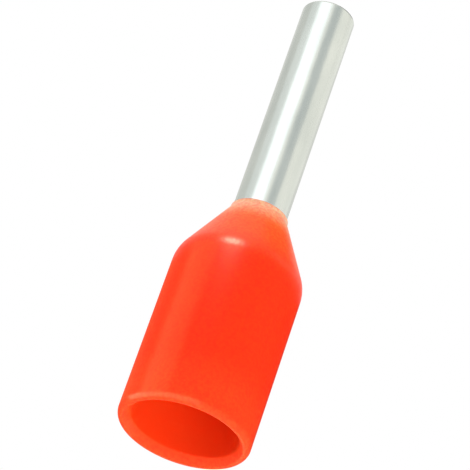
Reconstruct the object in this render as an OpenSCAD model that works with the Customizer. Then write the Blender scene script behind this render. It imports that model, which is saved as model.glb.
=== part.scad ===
// Insulated wire ferrule: a thin metal sleeve for the stripped wire, with a moulded insulating collar.
// Millimetres, real size. +Z runs from the wire mouth to the sleeve's tip. The origin is the centre of
// the mouth's rim, so the part stands on its collar.

/* [Sleeve] */
// Length of bare sleeve beyond the collar
sleeve_length = 6; // [4:0.5:12]
// Inside diameter, for the stripped conductor
sleeve_bore = 1; // [0.8:0.05:1.2]
// Wall thickness of the drawn tube
sleeve_wall = 0.15; // [0.1:0.01:0.18]
// Rounding of the outer edge at the tip
tip_edge = 0.06; // [0.02:0.01:0.08]

/* [Flare] */
// Outside diameter of the flared wire end
flare_diameter = 2.1; // [1.8:0.05:2.3]
// Radius of the bend where the tube opens into the flare, on its outside
flare_bend = 0.3; // [0.1:0.05:0.5]

/* [Collar] */
// Overall length, from the mouth's rim to the lip on the sleeve
collar_length = 6; // [5:0.1:8]
// Inside diameter, for the wire's insulation
collar_bore = 2.5; // [2.4:0.05:3]
// Wall thickness, the same on the straight part and on the cone
collar_wall = 0.3; // [0.2:0.01:0.35]
// Half angle of the cone, shared by the funnel inside it and by the flare
cone_angle = 28; // [22:1:34]
// Radius that rounds the shoulder, where the cone begins
shoulder_round = 0.8; // [0.3:0.05:1.2]
// Thickness of the lip that the cone runs out to on the sleeve
lip_wall = 0.05; // [0.03:0.01:0.08]
// Radius of the hollow run-out from the cone to the lip
lip_runout = 0.3; // [0.1:0.05:0.5]
// Radius that rounds the rim's ridge
rim_round = 0.08; // [0.03:0.01:0.08]
// Width of the bevel from the ridge out to the straight side, as if the ridge were sharp
rim_bevel = 0.08; // [0.04:0.01:0.1]
// Radius that blends the bevel into the straight side
rim_blend = 0.18; // [0.05:0.01:0.3]
// Depth of the lead-in, the countersink from the ridge in to the bore
lead_in_depth = 0.18; // [0.1:0.01:0.3]
// Radius that blends the lead-in into the bore
lead_in_blend = 0.1; // [0.03:0.01:0.15]

/* [Fits] */
// Play on the radius between the sleeve and the collar's neck
neck_clearance = 0.01; // [0:0.005:0.02]

/* [Hidden] */
arc_steps = 10;
sleeve_r = sleeve_bore / 2 + sleeve_wall;
sleeve_tip = collar_length + sleeve_length;
cavity_r = collar_bore / 2;
collar_r = cavity_r + collar_wall;
neck_r = sleeve_r + neck_clearance;
lip_r = sleeve_r + lip_wall;
flare_r = flare_diameter / 2;

// The cone's lines meet the lip and the straight part at these heights, before the corners are rounded
lip_corner = collar_length - lip_runout * tan(cone_angle / 2);
shoulder_corner = lip_corner - (collar_r - lip_r) / tan(cone_angle);

// The ridge's round rests on the rim's plane and runs into a bevel at 45 degrees, whose blend ends
// short of it
ridge_round = min(rim_round, 0.27 * collar_wall);
ridge_centre = [collar_r - rim_bevel - ridge_round * (sqrt(2) - 1), ridge_round];
bevel_length = sqrt(2) * (rim_bevel - ridge_round * (1 - sqrt(0.5)));
bevel_blend = min(rim_blend, 0.98 * bevel_length / tan(22.5));

function unit(v) = v / norm(v);

// Arc of radius r that rounds the corner b between the lines to a and c
function fillet(a, b, c, r) =
    let (
        u = unit(a - b),
        v = unit(c - b),
        half = acos(u * v) / 2,
        centre = b + unit(u + v) * r / sin(half),
        first = b + u * r / tan(half) - centre,
        last = b + v * r / tan(half) - centre,
        start = atan2(first[1], first[0]),
        turn = atan2(first[0] * last[1] - first[1] * last[0], first * last)
    )
    [for (i = [0:arc_steps]) let (t = start + turn * i / arc_steps) centre + r * [cos(t), sin(t)]];

// Point at radius r on the line that runs inside the cone, at this depth square to it
function under_cone(r, depth) =
    [r, shoulder_corner + (collar_r - depth / cos(cone_angle) - r) / tan(cone_angle)];

// Bend from a straight tube of radius r, downwards, into the line at this depth under the cone
function tube_to_cone(r, depth, bend) =
    let (corner = under_cone(r, depth))
    fillet(corner + [0, 1], corner, corner + [sin(cone_angle), -cos(cone_angle)], bend);

// Profile: up the bore from the flare, round the tip, then down the outside to the flare's square-cut end
module sleeve() {
    inside = tube_to_cone(sleeve_bore / 2, collar_wall + sleeve_wall, flare_bend + sleeve_wall);
    outside = tube_to_cone(sleeve_r, collar_wall, flare_bend);
    flare_end = under_cone(flare_r, collar_wall);
    flare_cut = flare_end - sleeve_wall * [cos(cone_angle), sin(cone_angle)];
    tip_in = [sleeve_bore / 2, sleeve_tip];
    tip_out = [sleeve_r, sleeve_tip];
    color([0.80, 0.82, 0.80])
    rotate_extrude($fn = 96)
    polygon(concat(
        [flare_cut],
        [for (i = [arc_steps:-1:0]) inside[i]],
        [tip_in],
        fillet(tip_in, tip_out, outside[0], tip_edge),
        outside,
        [flare_end]
    ));
}

// Profile: round the rim's ridge, up the outside, over the lip, then down the neck, funnel and cavity
module collar() {
    bevel = [collar_r, rim_bevel];
    lead_in = [cavity_r, lead_in_depth];
    reach = lead_in - ridge_centre;
    leave = atan2(reach[1], reach[0]) + acos(ridge_round / norm(reach));
    ridge = [for (i = [0:arc_steps]) let (t = leave + (315 - leave) * i / arc_steps)
        ridge_centre + ridge_round * [cos(t), sin(t)]];
    shoulder = [collar_r, shoulder_corner];
    lip = [lip_r, lip_corner];
    funnel = under_cone(cavity_r, collar_wall);
    color([1.00, 0.22, 0.08])
    rotate_extrude($fn = 96)
    polygon(concat(
        ridge,
        fillet(ridge[arc_steps], bevel, shoulder, bevel_blend),
        fillet(bevel, shoulder, lip, shoulder_round),
        fillet(shoulder, lip, lip + [0, 1], lip_runout),
        [[neck_r, collar_length]],
        tube_to_cone(neck_r, collar_wall, flare_bend),
        [funnel],
        fillet(funnel, lead_in, ridge[0], lead_in_blend)
    ));
}

sleeve();
collar();
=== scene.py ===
"""Insulated wire ferrule: a drawn, tin-plated copper sleeve held by its flare in a moulded collar."""

import logging
import math
from collections.abc import Mapping, Sequence
from dataclasses import dataclass, field
from enum import Enum
from typing import Any

import bpy
from mathutils import Matrix, Vector


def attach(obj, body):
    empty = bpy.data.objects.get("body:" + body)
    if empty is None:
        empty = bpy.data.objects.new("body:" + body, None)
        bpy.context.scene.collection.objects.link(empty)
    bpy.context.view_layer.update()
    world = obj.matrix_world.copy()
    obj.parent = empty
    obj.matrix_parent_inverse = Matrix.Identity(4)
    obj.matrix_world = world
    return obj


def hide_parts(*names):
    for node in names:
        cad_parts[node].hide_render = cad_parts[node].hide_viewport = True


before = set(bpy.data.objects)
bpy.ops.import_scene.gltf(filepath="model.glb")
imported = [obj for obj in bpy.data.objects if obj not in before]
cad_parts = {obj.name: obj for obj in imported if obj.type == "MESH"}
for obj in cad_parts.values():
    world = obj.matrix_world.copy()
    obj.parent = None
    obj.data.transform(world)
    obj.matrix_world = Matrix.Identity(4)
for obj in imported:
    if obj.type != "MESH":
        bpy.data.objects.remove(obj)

LOG = logging.getLogger("ferrule")
MM = 0.001
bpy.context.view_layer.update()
# half way up the part, which the panels face and the camera is aimed by
MIDDLE = Vector((0, 0, 6 * MM))
# a noise's values lie between these nearly everywhere, so a Map Range from them uses its whole range
NOISE_LOW, NOISE_HIGH = 0.3, 0.7


def srgb(code: str) -> tuple[float, float, float, float]:
    """Turn an sRGB hex colour into linear light.

    Args:
        code: colour such as "#C8CAC4".

    Returns:
        Linear red, green, blue and an alpha of 1.
    """
    values = [int(code[i:i + 2], 16) / 255 for i in (1, 3, 5)]
    linear = [v / 12.92 if v <= 0.04045 else ((v + 0.055) / 1.055) ** 2.4 for v in values]
    return (linear[0], linear[1], linear[2], 1.0)


def add_node(tree: bpy.types.NodeTree, kind: str, inputs: Mapping[int | str, Any] | None = None,
             **settings: Any) -> bpy.types.Node:
    """Add a node, with its settings, its constant values and its links.

    Args:
        tree: node tree that gets the node.
        kind: Blender's name of the node type.
        inputs: for each input, a value to set or an output socket to link.
        settings: attributes of the node itself.

    Returns:
        The new node.
    """
    node = tree.nodes.new(kind)
    for name, value in settings.items():
        setattr(node, name, value)
    for key, value in (inputs or {}).items():
        if isinstance(value, bpy.types.NodeSocket):
            tree.links.new(value, node.inputs[key])
        else:
            node.inputs[key].default_value = value
    return node


def new_material(name: str) -> bpy.types.Material:
    """Make an empty node material.

    Args:
        name: name of the material.

    Returns:
        The material, whose tree has no node yet.
    """
    material = bpy.data.materials.new(name)
    material.use_nodes = True
    material.node_tree.nodes.clear()
    return material


def stretched_noise(tree: bpy.types.NodeTree, across_mm: float, along_mm: float, detail: float,
                    turn: float = 0.0, roughness: float = 0.55) -> bpy.types.NodeSocket:
    """Make a noise whose grain has real sizes across and along the part's axis.

    Args:
        tree: material tree that gets the nodes.
        across_mm: size of the grain round the axis.
        along_mm: size of the grain along the axis.
        detail: octaves of the noise.
        turn: rotation about the axis, in radians, so that two noises don't share their marks.
        roughness: strength of each octave against the one before it.

    Returns:
        The noise's value, from 0 to 1.
    """
    place = add_node(tree, "ShaderNodeTexCoord")
    across, along = 1 / (across_mm * MM), 1 / (along_mm * MM)
    mapped = add_node(tree, "ShaderNodeMapping",
                      {"Vector": place.outputs["Object"], "Rotation": (0.0, 0.0, turn),
                       "Scale": (across, across, along)})
    noise = add_node(tree, "ShaderNodeTexNoise",
                     {"Vector": mapped.outputs[0], "Scale": 1.0, "Detail": detail, "Roughness": roughness})
    return noise.outputs[0]


@dataclass(frozen=True)
class TinPlate:
    """Copper tube, drawn and then tin-plated.

    Drawing leaves fine lines along the tube. The plating is a soft, slightly warm white metal, satin
    rather than bright, and it is cloudy in patches of a few tenths of a millimetre. The eye gets long
    soft stripes of light that waver a little, where a polished tube would show sharp ones.
    """

    name: str = "tin_plated_drawn_copper"
    metal: str = "#E2E5DA"
    cloud: str = "#D6DAD0"
    roughness: tuple[float, float] = (0.21, 0.29)
    # a real drawn line is a few thousandths of a millimetre wide: these are drawn as coarse as can be seen
    line_mm: float = 0.05
    line_length_mm: float = 2.5
    line_octaves: float = 3.0
    line_depth_mm: float = 0.0012
    line_strength: float = 0.5
    cloud_mm: float = 0.5
    cloud_stretch: float = 3.0
    cloud_octaves: float = 2.0
    cloud_turn: float = 0.6
    dent_depth_mm: float = 0.006

    def material(self) -> bpy.types.Material:
        """Build the material.

        Returns:
            A metal with drawn lines in its bump and roughness, and a faint cloud in its colour and form.
        """
        made = new_material(self.name)
        tree = made.node_tree
        lines = stretched_noise(tree, self.line_mm, self.line_length_mm, self.line_octaves)
        clouds = stretched_noise(tree, self.cloud_mm, self.cloud_stretch * self.cloud_mm,
                                 self.cloud_octaves, turn=self.cloud_turn)
        share = add_node(tree, "ShaderNodeMapRange",
                         {"Value": clouds, "From Min": NOISE_LOW, "From Max": NOISE_HIGH})
        # a Mix node has a pair of inputs for each data type: 6 and 7 are the colours
        colour = add_node(tree, "ShaderNodeMix",
                          {0: share.outputs[0], 6: srgb(self.metal), 7: srgb(self.cloud)}, data_type="RGBA")
        rough = add_node(tree, "ShaderNodeMapRange",
                         {"Value": lines, "From Min": NOISE_LOW, "From Max": NOISE_HIGH,
                          "To Min": self.roughness[0], "To Max": self.roughness[1]})
        dents = add_node(tree, "ShaderNodeBump",
                         {"Strength": 1.0, "Distance": self.dent_depth_mm * MM, "Height": clouds})
        bump = add_node(tree, "ShaderNodeBump",
                        {"Strength": self.line_strength, "Distance": self.line_depth_mm * MM,
                         "Height": lines, "Normal": dents.outputs[0]})
        shader = add_node(tree, "ShaderNodeBsdfPrincipled",
                          {"Base Color": colour.outputs[2], "Metallic": 1.0, "Roughness": rough.outputs[0],
                           "Normal": bump.outputs[0]})
        add_node(tree, "ShaderNodeOutputMaterial", {"Surface": shader.outputs[0]})
        return made


@dataclass(frozen=True)
class Tone:
    """A colour that the collar takes on, from nothing at one height above the rim to all at another."""

    colour: str
    from_mm: float
    to_mm: float


@dataclass(frozen=True)
class MouldedCollar:
    """Polypropylene, injection moulded in a lightly spark-eroded tool.

    The surface is semi-gloss with a very fine grain. The plastic is slightly see-through, so it pales
    where the bright flare lies under it, more so where the wall thins to a feather edge on the sleeve,
    and a little at the rim, where light enters from both sides. Part of that paling is painted light:
    painted light and sheen from above on the cone, a painted highlight on the lip and the rim, and
    painted light from below on the lowest part. The cavity has painted shade, a browner colour with less
    red. The eye gets a deep orange-red with soft highlights and a faint mottle, which shows where the
    colour is palest.
    """

    name: str = "moulded_polypropylene"
    body: str = "#FF3303"
    tones_with_painted_light: Sequence[Tone] = (
        # shoulder and cone: paler over the flare, and painted light and sheen from above
        Tone("#FF5C14", 3.9, 5.0),
        Tone("#FF7228", 5.0, 5.8),
        # feather lip: paler where the thin wall lies on the sleeve, and a painted highlight
        Tone("#FFC098", 5.3, 6.1),
        # lower part towards the rim: painted light from below
        Tone("#FF4210", 1.6, 0.4),
        # rim: a painted highlight, and paler where the rim is thin
        Tone("#FF5020", 0.25, 0.0),
    )
    # painted shade: the cavity gets a browner colour with less red, under this height and inside this
    # radius, with a soft edge to both
    inside: str = "#F64414"
    inside_radius_mm: float = 1.27
    inside_edge: float = 0.02
    inside_top_mm: float = 4.2
    inside_fade: float = 0.05
    # a real spark-eroded grain is near 0.02 mm: this one is drawn coarse enough to be seen
    grain_mm: float = 0.075
    grain_octaves: float = 2.0
    grain_depth_mm: float = 0.003
    fleck: str = "#FF1400"
    fleck_share: float = 0.4
    fleck_from: float = 0.35
    fleck_to: float = 0.65
    roughness: tuple[float, float] = (0.33, 0.39)
    ior: float = 1.49
    specular_level: float = 0.25
    scatter: float = 0.5
    # red light goes furthest through the plastic, blue least
    scatter_colours: tuple[float, float, float] = (1.0, 0.22, 0.08)
    scatter_mm: float = 0.25

    def material(self) -> bpy.types.Material:
        """Build the material.

        Returns:
            A plastic whose colour pales towards the neck and the rim, partly as painted light and
            highlights, with painted shade in the cavity and a fine moulded grain.
        """
        made = new_material(self.name)
        tree = made.node_tree
        place = add_node(tree, "ShaderNodeTexCoord")
        height = add_node(tree, "ShaderNodeSeparateXYZ", {0: place.outputs["Object"]}).outputs["Z"]
        across = add_node(tree, "ShaderNodeVectorMath", {0: place.outputs["Object"], 1: (1.0, 1.0, 0.0)},
                          operation="MULTIPLY")
        radius = add_node(tree, "ShaderNodeVectorMath", {0: across.outputs[0]}, operation="LENGTH")
        grain = stretched_noise(tree, self.grain_mm, self.grain_mm, self.grain_octaves)
        colour: Any = srgb(self.body)
        # each tone pales the colour by height, partly as painted light, sheen and highlights
        for tone in self.tones_with_painted_light:
            share = add_node(tree, "ShaderNodeMapRange",
                             {"Value": height, "From Min": tone.from_mm * MM, "From Max": tone.to_mm * MM},
                             interpolation_type="SMOOTHSTEP")
            colour = add_node(tree, "ShaderNodeMix", {0: share.outputs[0], 6: colour, 7: srgb(tone.colour)},
                              data_type="RGBA").outputs[2]
        fleck = add_node(tree, "ShaderNodeMapRange",
                         {"Value": grain, "From Min": self.fleck_from, "From Max": self.fleck_to,
                          "To Max": self.fleck_share})
        colour = add_node(tree, "ShaderNodeMix", {0: fleck.outputs[0], 6: colour, 7: srgb(self.fleck)},
                          data_type="RGBA").outputs[2]
        # painted shade: the browner colour is mixed in over the cavity, below its top and inside its radius
        top, edge = self.inside_top_mm * MM, self.inside_radius_mm * MM
        deep = add_node(tree, "ShaderNodeMapRange",
                        {"Value": height, "From Min": top, "From Max": top * (1 - self.inside_fade)})
        cavity_shade_mask = add_node(tree, "ShaderNodeMapRange",
                          {"Value": radius.outputs["Value"], "From Min": edge * (1 + self.inside_edge),
                           "From Max": edge, "To Max": deep.outputs[0]})
        colour = add_node(tree, "ShaderNodeMix", {0: cavity_shade_mask.outputs[0], 6: colour, 7: srgb(self.inside)},
                          data_type="RGBA").outputs[2]
        rough = add_node(tree, "ShaderNodeMapRange",
                         {"Value": grain, "From Min": NOISE_LOW, "From Max": NOISE_HIGH,
                          "To Min": self.roughness[0], "To Max": self.roughness[1]})
        bump = add_node(tree, "ShaderNodeBump",
                        {"Strength": 1.0, "Distance": self.grain_depth_mm * MM, "Height": grain})
        shader = add_node(tree, "ShaderNodeBsdfPrincipled",
                          {"Base Color": colour, "Roughness": rough.outputs[0], "IOR": self.ior,
                           "Specular IOR Level": self.specular_level, "Subsurface Weight": self.scatter,
                           "Subsurface Radius": self.scatter_colours,
                           "Subsurface Scale": self.scatter_mm * MM, "Normal": bump.outputs[0]})
        add_node(tree, "ShaderNodeOutputMaterial", {"Surface": shader.outputs[0]})
        return made


@dataclass(frozen=True)
class Corner:
    """One corner of a turned section, by the names of the sizes that place and round it."""

    radius: str
    height: str
    rounding: str


@dataclass
class TurnedPiece:
    """A hollow piece that is one closed section turned about the part's axis.

    The section's corners are placed and rounded in a Geometry Nodes tree, from named sizes in
    millimetres, and the tree turns it.
    """

    name: str
    node: str
    slot: str
    segments: int = 192
    arc_steps: int = 12
    ring_spacing: float = 0.12
    datum_radius: float = 1.0
    crease_deg: float = 40.0

    def sizes(self) -> dict[str, float]:
        """Named sizes of the section, in millimetres."""
        raise NotImplementedError

    def corners(self) -> Sequence[Corner]:
        """Corners of the section, in order."""
        raise NotImplementedError

    def tree(self) -> bpy.types.NodeTree:
        """Build the Geometry Nodes tree.

        Returns:
            A tree with one named input for each size, one for each count and one for the material.
        """
        tree = bpy.data.node_groups.new(f"turn_{self.name}", "GeometryNodeTree")
        face = tree.interface
        for label in self.sizes():
            face.new_socket(label, in_out="INPUT", socket_type="NodeSocketFloat")
        for label, kind in (("Datum Radius", "Float"), ("Ring Spacing", "Float"), ("Segments", "Int"),
                            ("Arc Steps", "Int"), ("Finish", "Material")):
            face.new_socket(label, in_out="INPUT", socket_type=f"NodeSocket{kind}")
        face.new_socket("Geometry", in_out="OUTPUT", socket_type="NodeSocketGeometry")
        given = add_node(tree, "NodeGroupInput").outputs

        corners = self.corners()
        index = add_node(tree, "GeometryNodeInputIndex").outputs[0]
        places = add_node(tree, "GeometryNodeIndexSwitch", {0: index}, data_type="VECTOR")
        rounds = add_node(tree, "GeometryNodeIndexSwitch", {0: index}, data_type="FLOAT")
        for switch in (places, rounds):
            while len(switch.index_switch_items) < len(corners):
                switch.index_switch_items.new()
        for i, corner in enumerate(corners, start=1):
            # the turned section lies in X and -Y: Curve to Mesh lays X on the radius and -Y on the height
            out = add_node(tree, "ShaderNodeMath", {0: given[corner.radius], 1: given["Datum Radius"]},
                           operation="SUBTRACT")
            down = add_node(tree, "ShaderNodeMath", {0: given[corner.height], 1: -1.0},
                            operation="MULTIPLY")
            place = add_node(tree, "ShaderNodeCombineXYZ", {"X": out.outputs[0], "Y": down.outputs[0]})
            tree.links.new(place.outputs[0], places.inputs[i])
            tree.links.new(given[corner.rounding], rounds.inputs[i])

        line = add_node(tree, "GeometryNodeMeshLine", {"Count": len(corners)})
        placed = add_node(tree, "GeometryNodeSetPosition",
                          {"Geometry": line.outputs[0], "Position": places.outputs[0]})
        curve = add_node(tree, "GeometryNodeMeshToCurve", {0: placed.outputs[0]})
        closed = add_node(tree, "GeometryNodeSetSplineCyclic", {0: curve.outputs[0], "Cyclic": True})
        rounded = add_node(tree, "GeometryNodeFilletCurve",
                           {"Curve": closed.outputs[0], "Count": given["Arc Steps"],
                            "Radius": rounds.outputs[0], "Limit Radius": False}, mode="POLY")
        here = add_node(tree, "GeometryNodeInputPosition").outputs[0]
        following = add_node(tree, "GeometryNodeOffsetPointInCurve", {"Offset": 1}).outputs["Point Index"]
        there = add_node(tree, "GeometryNodeFieldAtIndex", {"Index": following, "Value": here},
                         data_type="FLOAT_VECTOR").outputs[0]
        gap = add_node(tree, "ShaderNodeVectorMath", {0: here, 1: there}, operation="DISTANCE")
        share = add_node(tree, "ShaderNodeMath", {0: gap.outputs["Value"], 1: given["Ring Spacing"]},
                         operation="DIVIDE")
        cuts = add_node(tree, "FunctionNodeFloatToInt", {0: share.outputs[0]}, rounding_mode="FLOOR")
        ringed = add_node(tree, "GeometryNodeSubdivideCurve",
                          {"Curve": rounded.outputs[0], "Cuts": cuts.outputs[0]})
        circle = add_node(tree, "GeometryNodeCurvePrimitiveCircle",
                          {"Resolution": given["Segments"], "Radius": given["Datum Radius"]})
        turned = add_node(tree, "GeometryNodeCurveToMesh",
                          {"Curve": circle.outputs[0], "Profile Curve": ringed.outputs[0]})
        metres = add_node(tree, "GeometryNodeTransform",
                          {"Geometry": turned.outputs[0], "Scale": (MM, MM, MM)})
        angle = add_node(tree, "GeometryNodeInputMeshEdgeAngle").outputs[0]
        soft = add_node(tree, "FunctionNodeCompare", {0: angle, 1: math.radians(self.crease_deg)},
                        operation="LESS_THAN")
        smooth = add_node(tree, "GeometryNodeSetShadeSmooth",
                          {"Geometry": metres.outputs[0], "Shade Smooth": soft.outputs[0]}, domain="EDGE")
        real = add_node(tree, "GeometryNodeRealizeInstances", {0: smooth.outputs[0]})
        dressed = add_node(tree, "GeometryNodeSetMaterial",
                           {"Geometry": real.outputs[0], "Material": given["Finish"]})
        add_node(tree, "NodeGroupOutput", {0: dressed.outputs[0]})
        return tree

    def build(self, finish: bpy.types.Material) -> bpy.types.Object:
        """Turn the section into a plain mesh that stands for its CAD solid.

        Args:
            finish: material of the whole piece.

        Returns:
            The finished object, which rides on the part's one body.
        """
        tree = self.tree()
        values: dict[str, Any] = {
            **self.sizes(), "Datum Radius": self.datum_radius, "Ring Spacing": self.ring_spacing,
            "Segments": self.segments, "Arc Steps": self.arc_steps, "Finish": finish,
        }
        maker = bpy.data.objects.new(f"{self.name}_maker", bpy.data.meshes.new(f"{self.name}_maker"))
        bpy.context.scene.collection.objects.link(maker)
        modifier = maker.modifiers.new("turn", "NODES")
        modifier.node_group = tree
        for socket in tree.interface.items_tree:
            if socket.in_out == "INPUT":
                modifier[socket.identifier] = values[socket.name]
        shown = maker.evaluated_get(bpy.context.evaluated_depsgraph_get())
        mesh = bpy.data.meshes.new_from_object(shown)
        maker.modifiers.remove(modifier)
        bpy.data.objects.remove(maker)
        mesh.name = self.name
        piece = bpy.data.objects.new(self.name, mesh)
        bpy.context.scene.collection.objects.link(piece)
        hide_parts(self.node)
        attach(piece, "root")
        LOG.info("%s: %d faces, stands for %s", self.name, len(mesh.polygons), self.node)
        return piece


@dataclass(frozen=True)
class Cone:
    """The collar's cone, whose lines the funnel inside it and the sleeve's flare run parallel to."""

    angle: float = 28.0
    collar_radius: float = 1.55
    lip_radius: float = 0.70
    lip_height: float = 6.0
    lip_runout: float = 0.3

    def lip_corner(self) -> float:
        """Height where the cone's line would meet the lip's."""
        return self.lip_height - self.lip_runout * math.tan(math.radians(self.angle / 2))

    def shoulder_corner(self) -> float:
        """Height where the cone's line would meet the straight part's."""
        rise = (self.collar_radius - self.lip_radius) / math.tan(math.radians(self.angle))
        return self.lip_corner() - rise

    def height_under(self, radius: float, depth: float) -> float:
        """Find a height on the line that runs inside the cone.

        Args:
            radius: distance from the axis, in millimetres.
            depth: how far inside the cone the line runs, square to it, in millimetres.

        Returns:
            The line's height at that radius, in millimetres.
        """
        slope = math.radians(self.angle)
        inwards = self.collar_radius - depth / math.cos(slope) - radius
        return self.shoulder_corner() + inwards / math.tan(slope)


@dataclass
class Sleeve(TurnedPiece):
    """Drawn tube with a bell-mouth flare at its wire end."""

    cone: Cone = field(default_factory=Cone)
    bore_radius: float = 0.5
    wall: float = 0.15
    tip_height: float = 12.0
    flare_radius: float = 1.05
    seat_depth: float = 0.3
    bend: float = 0.3
    tip_round: float = 0.06
    burr: float = 0.015

    def sizes(self) -> dict[str, float]:
        """Work out the sleeve's section.

        Returns:
            Named sizes of the section, in millimetres.
        """
        slope = math.radians(self.cone.angle)
        flare_height = self.cone.height_under(self.flare_radius, self.seat_depth)
        outside = self.bore_radius + self.wall
        return {
            "Bore Radius": self.bore_radius,
            "Outside Radius": outside,
            "Tip Height": self.tip_height,
            "Inner Bend Height": self.cone.height_under(self.bore_radius, self.seat_depth + self.wall),
            "Outer Bend Height": self.cone.height_under(outside, self.seat_depth),
            "Flare Radius": self.flare_radius,
            "Flare Height": flare_height,
            "Flare Cut Radius": self.flare_radius - self.wall * math.cos(slope),
            "Flare Cut Height": flare_height - self.wall * math.sin(slope),
            "Inner Bend": self.bend + self.wall,
            "Outer Bend": self.bend,
            "Tip Round": self.tip_round,
            "Burr": self.burr,
        }

    def corners(self) -> Sequence[Corner]:
        """List the corners of the sleeve's section.

        Returns:
            The corners down the outside from the tip, round the flare and up the bore.
        """
        return (
            Corner("Outside Radius", "Tip Height", "Tip Round"),
            Corner("Outside Radius", "Outer Bend Height", "Outer Bend"),
            Corner("Flare Radius", "Flare Height", "Burr"),
            Corner("Flare Cut Radius", "Flare Cut Height", "Burr"),
            Corner("Bore Radius", "Inner Bend Height", "Inner Bend"),
            Corner("Bore Radius", "Tip Height", "Burr"),
        )


@dataclass
class Collar(TurnedPiece):
    """Moulded collar: straight part, shoulder, cone and feather lip, over a cavity and a funnel."""

    cone: Cone = field(default_factory=Cone)
    cavity_radius: float = 1.25
    wall: float = 0.3
    neck_radius: float = 0.66
    neck_bend: float = 0.3
    shoulder_round: float = 0.8
    rim_round: float = 0.08
    rim_bevel: float = 0.08
    rim_blend: float = 0.18
    lead_in_depth: float = 0.18
    lead_in_blend: float = 0.1
    lip_edge: float = 0.01
    funnel_round: float = 0.05

    def ridge_corner(self) -> tuple[float, float]:
        """Place the rim's corner so that its round rests on the rim's plane.

        Returns:
            Radius and height where the bevel's line meets the lead-in's, just under the plane.
        """
        foot = self.cone.collar_radius - self.rim_bevel
        centre = foot - self.rim_round * (math.sqrt(2) - 1)
        out, up = self.cavity_radius - centre, self.lead_in_depth - self.rim_round
        leave = math.atan2(up, out) + math.acos(self.rim_round / math.hypot(out, up))
        across, along = math.cos(leave), math.sin(leave)
        height = (centre * across + self.rim_round * (along + 1) - foot * across) / (across + along)
        return foot + height, height

    def sizes(self) -> dict[str, float]:
        """Work out the collar's section.

        Returns:
            Named sizes of the section, in millimetres.
        """
        ridge_radius, ridge_height = self.ridge_corner()
        return {
            "Cavity Radius": self.cavity_radius,
            "Outside Radius": self.cone.collar_radius,
            "Lip Radius": self.cone.lip_radius,
            "Neck Radius": self.neck_radius,
            "Ridge Radius": ridge_radius,
            "Ridge Height": ridge_height,
            "Bevel Height": self.rim_bevel,
            "Lead-in Depth": self.lead_in_depth,
            "Shoulder Height": self.cone.shoulder_corner(),
            "Run-out Height": self.cone.lip_corner(),
            "Lip Height": self.cone.lip_height,
            "Neck Bend Height": self.cone.height_under(self.neck_radius, self.wall),
            "Funnel Height": self.cone.height_under(self.cavity_radius, self.wall),
            "Rim Round": self.rim_round,
            "Rim Blend": self.rim_blend,
            "Lead-in Blend": self.lead_in_blend,
            "Shoulder Round": self.shoulder_round,
            "Run-out": self.cone.lip_runout,
            "Lip Edge": self.lip_edge,
            "Neck Bend": self.neck_bend,
            "Funnel Round": self.funnel_round,
        }

    def corners(self) -> Sequence[Corner]:
        """List the corners of the collar's section.

        Returns:
            The corners down the outside from the lip, round the rim and up the inside.
        """
        return (
            Corner("Lip Radius", "Lip Height", "Lip Edge"),
            Corner("Lip Radius", "Run-out Height", "Run-out"),
            Corner("Outside Radius", "Shoulder Height", "Shoulder Round"),
            Corner("Outside Radius", "Bevel Height", "Rim Blend"),
            Corner("Ridge Radius", "Ridge Height", "Rim Round"),
            Corner("Cavity Radius", "Lead-in Depth", "Lead-in Blend"),
            Corner("Cavity Radius", "Funnel Height", "Funnel Round"),
            Corner("Neck Radius", "Neck Bend Height", "Neck Bend"),
            Corner("Neck Radius", "Lip Height", "Lip Edge"),
        )


def reflected_card(name: str, points: Sequence[Vector], faces: Sequence[tuple[int, ...]], colour: str,
                   light: float) -> bpy.types.Object:
    """Make a card of an even brightness that only reflections show.

    Args:
        name: name of the card.
        points: corners of its faces, in metres.
        faces: indices of each face's corners.
        colour: sRGB hex colour.
        light: brightness, where 1 is white.

    Returns:
        The card's object, which belongs to the stage.
    """
    material = new_material(f"{name}_paper")
    glow = add_node(material.node_tree, "ShaderNodeEmission", {"Color": srgb(colour), "Strength": light})
    add_node(material.node_tree, "ShaderNodeOutputMaterial", {"Surface": glow.outputs[0]})
    # light sampled straight from a card would shine through the cards before it, which cast no shadow
    material.cycles.emission_sampling = "NONE"
    mesh = bpy.data.meshes.new(name)
    mesh.from_pydata(points, [], faces)
    mesh.materials.append(material)
    made = bpy.data.objects.new(name, mesh)
    made.visible_camera = made.visible_diffuse = made.visible_shadow = made.visible_transmission = False
    bpy.context.scene.collection.objects.link(made)
    return made


class PanelKind(Enum):
    """What a panel round the part does."""

    LAMP = "lamp"
    CARD = "card"


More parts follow.
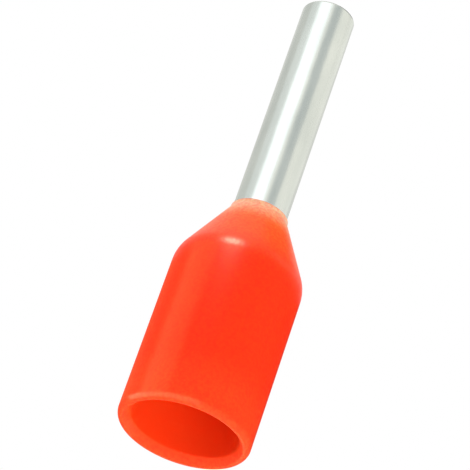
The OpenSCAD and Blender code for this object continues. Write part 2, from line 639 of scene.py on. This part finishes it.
@dataclass(frozen=True)
class Panel:
    """A flat panel that faces the part, as a soft lamp or as a card that only reflections show.

    A lamp that isn't in reflections shows on surfaces only, and one that isn't on surfaces makes
    highlights only. A lamp can be kept for a single piece, by that piece's name.
    """

    name: str
    kind: PanelKind
    azimuth: float
    elevation: float
    distance_mm: float
    width_mm: float
    height_mm: float
    light: float
    colour: str = "#FFFFFF"
    in_reflections: bool = True
    on_surfaces: bool = True
    only_for: str = ""

    def place(self) -> Matrix:
        """Work out where the panel stands.

        Returns:
            A matrix that puts the panel at its distance, with its -Z towards the middle of the part.
        """
        azimuth, elevation = math.radians(self.azimuth), math.radians(self.elevation)
        out = Vector((math.sin(azimuth) * math.cos(elevation), -math.cos(azimuth) * math.cos(elevation),
                      math.sin(elevation)))
        turn = (-out).to_track_quat("-Z", "Y").to_matrix().to_4x4()
        return Matrix.Translation(MIDDLE + out * self.distance_mm * MM) @ turn

    def build(self) -> bpy.types.Object:
        """Make the panel and put it in its place.

        Returns:
            The lamp's or the card's object.
        """
        made = self.lamp() if self.kind is PanelKind.LAMP else self.card()
        made.matrix_world = self.place()
        return made

    def lamp(self) -> bpy.types.Object:
        """Make an area lamp, whose given light is a radiance and not a power.

        Returns:
            The lamp's object, linked to the scene and, where it is kept for one piece, to that piece.
        """
        data = bpy.data.lights.new(self.name, "AREA")
        data.shape = "RECTANGLE"
        data.size, data.size_y = self.width_mm * MM, self.height_mm * MM
        data.energy = self.light * math.pi * data.size * data.size_y
        data.color = srgb(self.colour)[:3]
        made = bpy.data.objects.new(self.name, data)
        made.visible_camera = False
        made.visible_glossy = self.in_reflections
        made.visible_diffuse = self.on_surfaces
        bpy.context.scene.collection.objects.link(made)
        if self.only_for:
            lit = bpy.data.collections.new(f"{self.name}_lights")
            lit.objects.link(bpy.data.objects[self.only_for])
            made.light_linking.receiver_collection = lit
        return made

    def card(self) -> bpy.types.Object:
        """Make a flat card.

        Returns:
            The card's object, still at the origin.
        """
        x, y = self.width_mm * MM / 2, self.height_mm * MM / 2
        points = [Vector((-x, -y, 0)), Vector((x, -y, 0)), Vector((x, y, 0)), Vector((-x, y, 0))]
        return reflected_card(self.name, points, [(0, 1, 2, 3)], self.colour, self.light)


@dataclass(frozen=True)
class BentCard:
    """Card bent round the part's axis, from one azimuth to another.

    A dark one keeps the white room out of the reflections, and a light one makes a band in them.
    """

    name: str
    start: float
    end: float
    low_mm: float
    high_mm: float
    radius_mm: float
    light: float
    colour: str = "#FFFFFF"
    steps: int = 48

    def build(self) -> bpy.types.Object:
        """Make the card.

        Returns:
            The card's object, a strip of a cylinder about the part's axis.
        """
        radius, step = self.radius_mm * MM, (self.end - self.start) / self.steps
        turns = [math.radians(self.start + step * i) for i in range(self.steps + 1)]
        points = [Vector((radius * math.sin(turn), -radius * math.cos(turn), height * MM))
                  for turn in turns for height in (self.low_mm, self.high_mm)]
        faces = [(i, i + 1, i + 3, i + 2) for i in range(0, 2 * self.steps, 2)]
        return reflected_card(self.name, points, faces, self.colour, self.light)


@dataclass(frozen=True)
class Camera:
    """Long lens that looks up past the open mouth, with the part leaning to the right.

    Rise is how far it looks up, in degrees, and lean how far the part leans. The part's middle lies off
    the picture's centre, by aside to the right and by above upwards.
    """

    rise: float = 30.77
    lean: float = 19.50
    distance_mm: float = 65.39
    aside_mm: float = 0.557
    above_mm: float = 0.440
    lens_mm: float = 215.58
    sensor_mm: float = 36.0
    near_mm: float = 1.0
    far_mm: float = 1000.0

    def build(self) -> bpy.types.Object:
        """Make the camera.

        Returns:
            The camera's object, set as the scene's own.
        """
        rise, lean = math.radians(self.rise), math.radians(self.lean)
        ahead = Vector((0, math.cos(rise), math.sin(rise)))
        level, upright = Vector((1, 0, 0)), Vector((0, -math.sin(rise), math.cos(rise)))
        right = level * math.cos(lean) + upright * math.sin(lean)
        up = upright * math.cos(lean) - level * math.sin(lean)
        back = right * self.aside_mm + up * self.above_mm + ahead * self.distance_mm
        data = bpy.data.cameras.new("camera")
        data.lens, data.sensor_width = self.lens_mm, self.sensor_mm
        data.clip_start, data.clip_end = self.near_mm * MM, self.far_mm * MM
        made = bpy.data.objects.new("camera", data)
        turn = Matrix((right, up, -ahead)).transposed().to_4x4()
        made.matrix_world = Matrix.Translation(MIDDLE - back * MM) @ turn
        bpy.context.scene.collection.objects.link(made)
        bpy.context.scene.camera = made
        return made


@dataclass
class Studio:
    """White room with a pale floor, soft lamps, cards for the reflections and the camera.

    The four large lamps light the surfaces. The far cards make the sleeve's stripes. The shoulder's
    lamp, the bent cards and the card under the mouth make the collar's highlights and dark parts. They
    stand low and close to it, so that in the camera's own view the sleeve mirrors none of them. The
    shoulder's lamp names a piece, so the pieces are built first.
    """

    sky: float = 0.75
    floor_colour: str = "#F4F4F2"
    floor_radius_mm: float = 90.0
    floor_sides: int = 64
    fade_from_mm: float = 25.0
    fade_to_mm: float = 85.5
    camera: Camera = Camera()
    # name, kind, azimuth, elevation, distance, width, height, light and colour
    panels: Sequence[Panel] = (
        Panel("softbox", PanelKind.LAMP, -31, 32, 70, 46, 50, 1.6, in_reflections=False),
        Panel("side_lamp", PanelKind.LAMP, -100, 5, 70, 40, 40, 4.0, in_reflections=False),
        Panel("mouth_lamp", PanelKind.LAMP, 46, -62, 70, 40, 40, 8.2, in_reflections=False),
        Panel("top_lamp", PanelKind.LAMP, 60, 45, 70, 40, 40, 3.0, in_reflections=False),
        Panel("shoulder_lamp", PanelKind.LAMP, -23, -1.4, 3.0, 1.2, 0.75, 66.0, "#FFEED0",
              on_surfaces=False, only_for="collar_body"),
        Panel("stripe_card", PanelKind.CARD, -32.3, 31, 57, 51, 44, 1.7, "#F2F6FF"),
        Panel("glow_card", PanelKind.CARD, -72, 31, 58, 32, 44, 0.92, "#F6FAFF"),
        Panel("centre_card", PanelKind.CARD, 28, 30, 60, 32, 60, 0.70, "#F0F6FC"),
        Panel("left_card", PanelKind.CARD, -96, 30, 60, 86, 60, 0.72, "#FBFDFF"),
        Panel("rear_card", PanelKind.CARD, 180, 26, 60, 110, 40, 0.78),
        Panel("back_card", PanelKind.CARD, 138, 66, 60, 60, 40, 0.12),
        Panel("under_card", PanelKind.CARD, 0, -90, 8, 4.6, 4.6, 0.15),
    )
    # name, first and last azimuth, lowest and highest point, radius, light and colour
    bent_cards: Sequence[BentCard] = (
        BentCard("collar_flag", -34, 230, 0.3, 4.8, 2.3, 0.05),
        BentCard("band_card", -69, -34, 0.3, 4.8, 2.3, 2.9, "#FFF0A0"),
        BentCard("edge_card", -130, -69, 0.3, 4.8, 2.3, 0.40, "#FFE4A8"),
        BentCard("cup_flag", -180, 180, -2.0, 0.3, 2.3, 0.12),
        BentCard("cup_card", 120, 185, -2.0, -0.75, 2.2, 1.8, "#FFE4B4"),
        BentCard("rim_card", -78, 5, -0.55, 0.26, 2.0, 9.0, "#FFE8B8"),
    )

    def world(self) -> None:
        """White to the camera, to reflections and through glass, and an even soft light on surfaces."""
        world = bpy.data.worlds.new("studio")
        bpy.context.scene.world = world
        world.use_nodes = True
        # light sampled straight from the room would shine through the cards, which cast no shadow
        world.cycles.sampling_method = "NONE"
        tree = world.node_tree
        tree.nodes.clear()
        path = add_node(tree, "ShaderNodeLightPath").outputs
        seen = add_node(tree, "ShaderNodeMath", {0: path["Is Camera Ray"], 1: path["Is Glossy Ray"]},
                        operation="MAXIMUM")
        seen = add_node(tree, "ShaderNodeMath", {0: seen.outputs[0], 1: path["Is Transmission Ray"]},
                        operation="MAXIMUM")
        level = add_node(tree, "ShaderNodeMapRange",
                         {"Value": seen.outputs[0], "To Min": self.sky, "To Max": 1.0})
        light = add_node(tree, "ShaderNodeBackground",
                         {"Color": srgb("#FFFFFF"), "Strength": level.outputs[0]})
        add_node(tree, "ShaderNodeOutputWorld", {"Surface": light.outputs[0]})

    def floor(self) -> None:
        """Round pale floor that takes shadows, fades out far off and hides nothing from below."""
        material = new_material("floor_paper")
        tree = material.node_tree
        place = add_node(tree, "ShaderNodeTexCoord").outputs["Object"]
        far = add_node(tree, "ShaderNodeVectorMath", {0: place}, operation="LENGTH")
        fade = add_node(tree, "ShaderNodeMapRange",
                        {"Value": far.outputs["Value"], "From Min": self.fade_from_mm * MM,
                         "From Max": self.fade_to_mm * MM})
        back = add_node(tree, "ShaderNodeNewGeometry").outputs["Backfacing"]
        gone = add_node(tree, "ShaderNodeMath", {0: fade.outputs[0], 1: back}, operation="MAXIMUM")
        paper = add_node(tree, "ShaderNodeBsdfDiffuse", {"Color": srgb(self.floor_colour)})
        clear = add_node(tree, "ShaderNodeBsdfTransparent")
        mixed = add_node(tree, "ShaderNodeMixShader",
                         {0: gone.outputs[0], 1: paper.outputs[0], 2: clear.outputs[0]})
        add_node(tree, "ShaderNodeOutputMaterial", {"Surface": mixed.outputs[0]})
        radius, corners = self.floor_radius_mm * MM, range(self.floor_sides)
        turns = [i * math.tau / self.floor_sides for i in corners]
        mesh = bpy.data.meshes.new("floor")
        mesh.from_pydata([(radius * math.cos(turn), radius * math.sin(turn), 0.0) for turn in turns], [],
                         [tuple(corners)])
        mesh.materials.append(material)
        made = bpy.data.objects.new("floor", mesh)
        # it sends no light, shadow or reflection back to the part
        made.visible_diffuse = made.visible_shadow = made.visible_glossy = False
        bpy.context.scene.collection.objects.link(made)

    def build(self) -> None:
        """Set up the world, the floor, the panels, the cards and the camera."""
        bpy.context.scene.view_settings.view_transform = "Standard"
        self.world()
        self.floor()
        for panel in (*self.panels, *self.bent_cards):
            panel.build()
        self.camera.build()


def main() -> None:
    """Build the sleeve, the collar and the studio."""
    logging.basicConfig(level=logging.INFO, format="%(name)s: %(message)s")
    Sleeve("sleeve_tube", "sleeve", "tinned_copper").build(TinPlate().material())
    Collar("collar_body", "collar", "collar_polymer").build(MouldedCollar().material())
    Studio().build()


if __name__ == "__main__":
    main()
